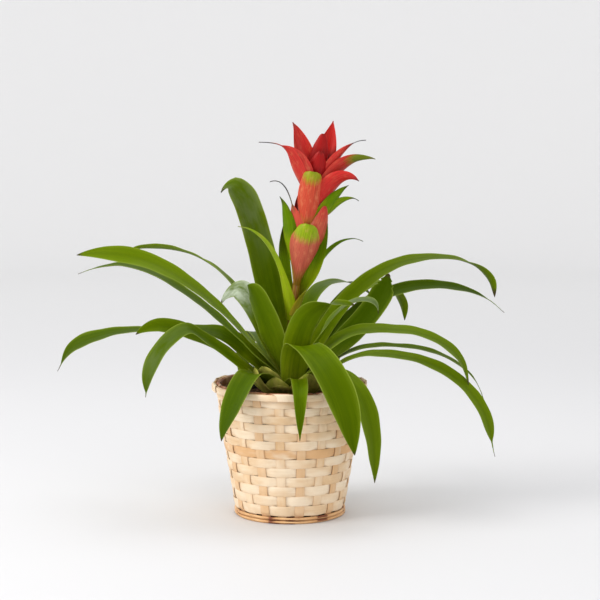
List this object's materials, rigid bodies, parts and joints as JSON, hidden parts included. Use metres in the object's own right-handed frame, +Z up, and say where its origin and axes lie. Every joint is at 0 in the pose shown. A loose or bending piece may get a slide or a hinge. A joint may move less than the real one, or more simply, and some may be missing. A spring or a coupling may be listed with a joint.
{
  "type": "bromeliad in basket",
  "caption": "Bromeliad with arching strap leaves and a red and green bract spike, in a plastic grow pot inside a tapered woven splint basket.",
  "frame": {"origin": "centre of the basket's foot, on the surface it stands on", "axes": "+Z up along the basket's axis, +X to the plant's right seen from the front, -Y towards the front"},
  "size_m": [0.5, 0.3164, 0.4261],
  "materials": {
    "splint": "matte",
    "cane": "satin",
    "pot_plastic": "matte",
    "soil_mix": "matte",
    "crown_fibre": "matte",
    "leaf": "satin",
    "stem": "satin",
    "bract_green": "satin",
    "bract_red": "satin"
  },
  "bodies": {
    "root": {"basket_wall": "splint", "basket_rim_outer": "splint", "basket_rim_inner": "splint", "basket_foot_rod": "cane", "basket_foot_rod_upper": "cane", "grow_pot": "pot_plastic", "soil": "soil_mix", "crown": "crown_fibre", "flower_stem": "stem", "leaf_front_left": "leaf", "leaf_front_small": "leaf", "leaf_front_right": "leaf", "leaf_right_low": "leaf", "leaf_left_bump": "leaf", "leaf_front_bent": "leaf", "leaf_left_arch": "leaf", "leaf_right_thin": "leaf", "leaf_left_long": "leaf", "leaf_right_torn": "leaf", "leaf_right_short": "leaf", "leaf_left_back": "leaf", "leaf_left_channel": "leaf", "leaf_right_second": "leaf", "leaf_right_hooked": "leaf", "leaf_left_upper": "leaf", "leaf_right_front": "leaf", "leaf_right_upper": "leaf", "leaf_left_glossy": "leaf", "leaf_left_rounded": "leaf", "leaf_upright_tall": "leaf", "leaf_right_dark": "leaf", "leaf_right_grey": "leaf", "leaf_old_left": "leaf", "leaf_old_middle": "leaf", "leaf_back_middle": "leaf", "leaf_back_left": "leaf", "leaf_back_right": "leaf", "bract_stem_left": "bract_green", "bract_stem_right": "bract_green", "bract_stem_back": "bract_green", "bract_stem_thin": "bract_green", "bract_front_low": "bract_red", "bract_left_green": "bract_green", "bract_back_low": "bract_red", "bract_right_low": "bract_red", "bract_left_thin": "bract_red", "bract_right_thin": "bract_green", "bract_back_middle": "bract_red", "bract_right_green": "bract_green", "bract_front_middle": "bract_red", "bract_right_dark": "bract_red", "bract_back_high": "bract_red", "bract_left_red": "bract_red", "bract_right_tipped": "bract_red", "bract_front_cup": "bract_red", "bract_right_slim": "bract_red", "bract_top_right": "bract_red", "bract_top_left": "bract_red", "bract_bud": "bract_red"}
  },
  "joints": []
}
